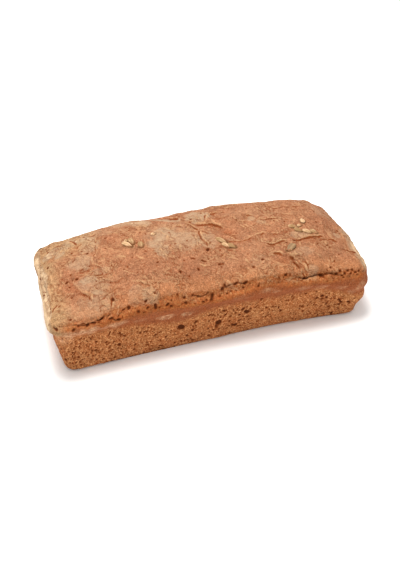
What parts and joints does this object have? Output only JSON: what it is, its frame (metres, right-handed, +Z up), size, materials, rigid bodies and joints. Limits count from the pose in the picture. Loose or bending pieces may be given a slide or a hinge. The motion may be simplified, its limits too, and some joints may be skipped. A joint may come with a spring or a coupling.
{
  "type": "tin loaf",
  "caption": "Long rectangular bread baked in a tin, with pitted upright sides, a bead of crust swollen over the rim, a low domed lumpy top and a few seeds.",
  "frame": {"origin": "centre of the bounding box in plan, on the flat base the loaf rests on", "axes": "+X along the loaf towards its low, blunt end, +Y across the loaf to its back, +Z up from the base"},
  "size_m": [0.3082, 0.1378, 0.0799],
  "materials": {
    "crust": "matte, floury baked crust, warm mid brown, darker in its pits and creases",
    "sunflower_seeds": "matte, toasted kernels from tan to dark brown",
    "pumpkin_seeds": "matte, toasted greenish grey kernel"
  },
  "bodies": {
    "root": {"loaf": "crust"}
  },
  "joints": []
}
